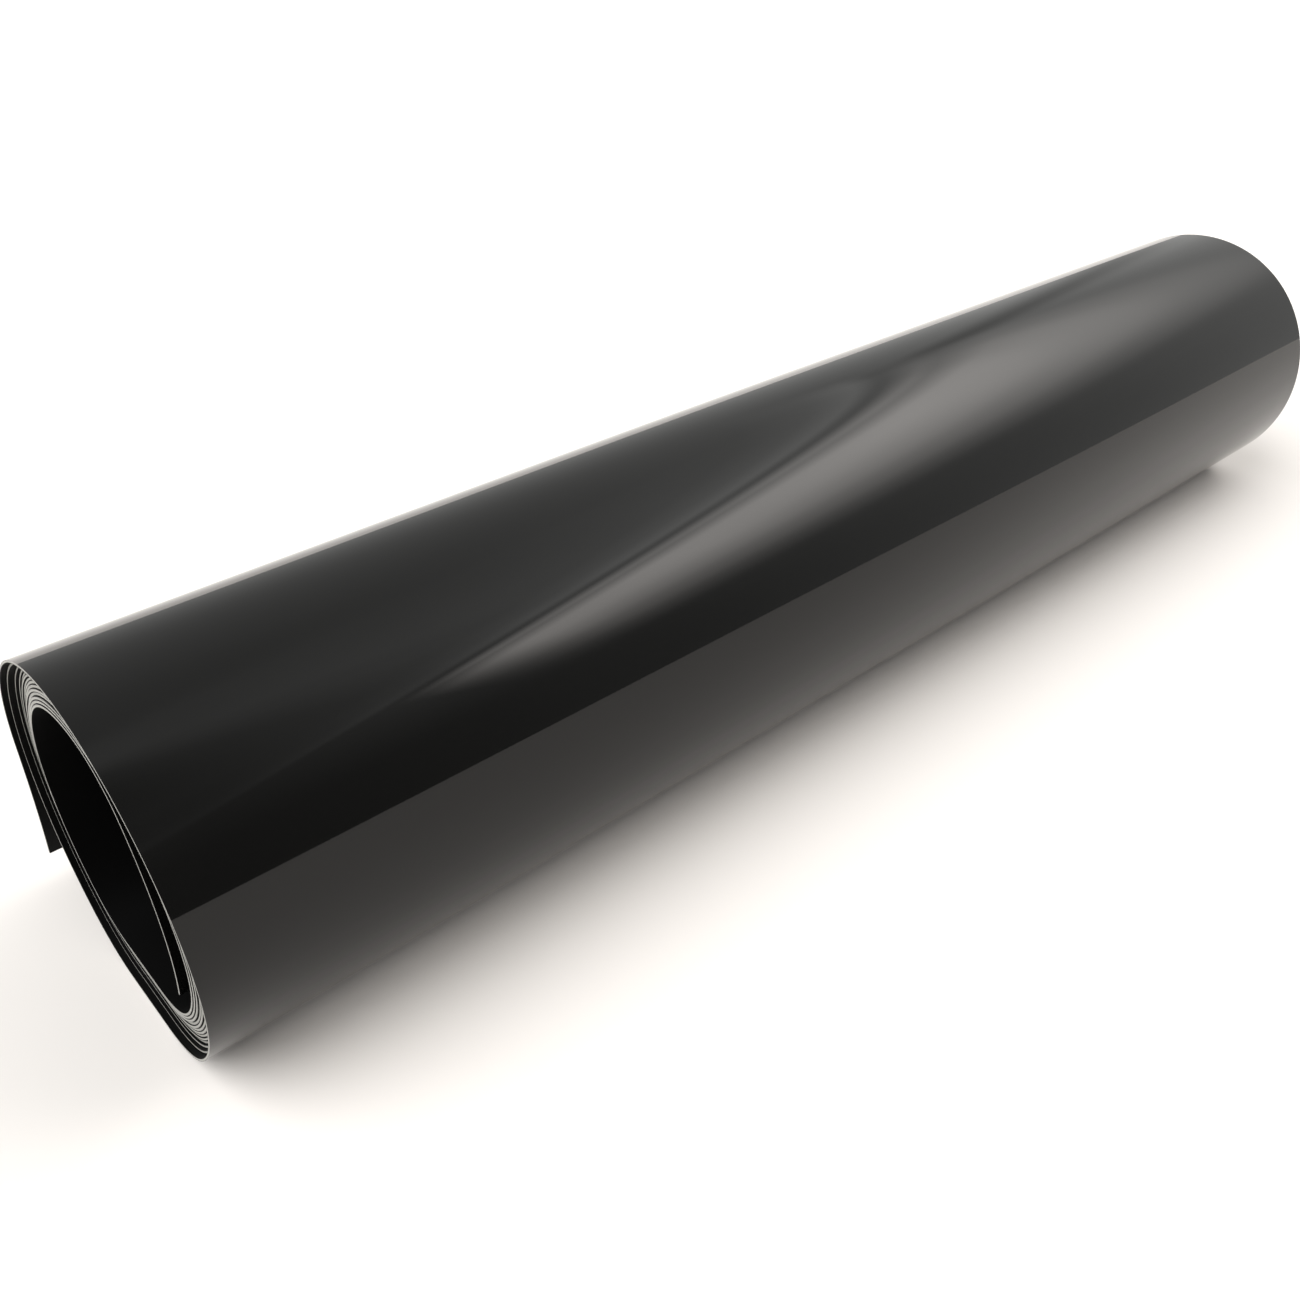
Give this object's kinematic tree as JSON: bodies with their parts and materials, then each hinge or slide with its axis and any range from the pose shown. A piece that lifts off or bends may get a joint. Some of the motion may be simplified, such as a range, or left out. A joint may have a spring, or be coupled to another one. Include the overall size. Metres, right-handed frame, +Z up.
{
  "type": "roll of sign vinyl",
  "caption": "Coreless roll of gloss black self-adhesive sign vinyl lying on its side, its four-layer sheet wound in a spiral with free, springy inner and outer ends.",
  "frame": {"origin": "middle of the underside of the whole object's box", "axes": "+X along the roll's axis, +Y towards the side with the free outer end, +Z up"},
  "size_m": [0.61, 0.1352, 0.1203],
  "materials": {
    "film": "gloss",
    "adhesive": "gloss",
    "liner": "matte",
    "back_coat": "satin"
  },
  "bodies": {
    "roll": {"roll_face_film": "film", "roll_adhesive": "adhesive", "roll_liner": "liner", "roll_back_coat": "back_coat"},
    "tail": {"tail_face_film": "film", "tail_adhesive": "adhesive", "tail_liner": "liner", "tail_back_coat": "back_coat"},
    "inner_end": {"inner_end_face_film": "film", "inner_end_adhesive": "adhesive", "inner_end_liner": "liner", "inner_end_back_coat": "back_coat"}
  },
  "joints": [
    {"name": "tail_flex", "type": "hinge", "parent": "roll", "child": "tail", "pos_m": [0, 0.05799, 0.06246], "axis": [1, 0, 0], "range_deg": [0, 80], "stiffness_Nm_per_rad": 0.6},
    {"name": "inner_end_flex", "type": "hinge", "parent": "roll", "child": "inner_end", "pos_m": [0, -0.01173, 0.10462], "axis": [1, 0, 0], "range_deg": [0, 45], "stiffness_Nm_per_rad": 0.6}
  ]
}
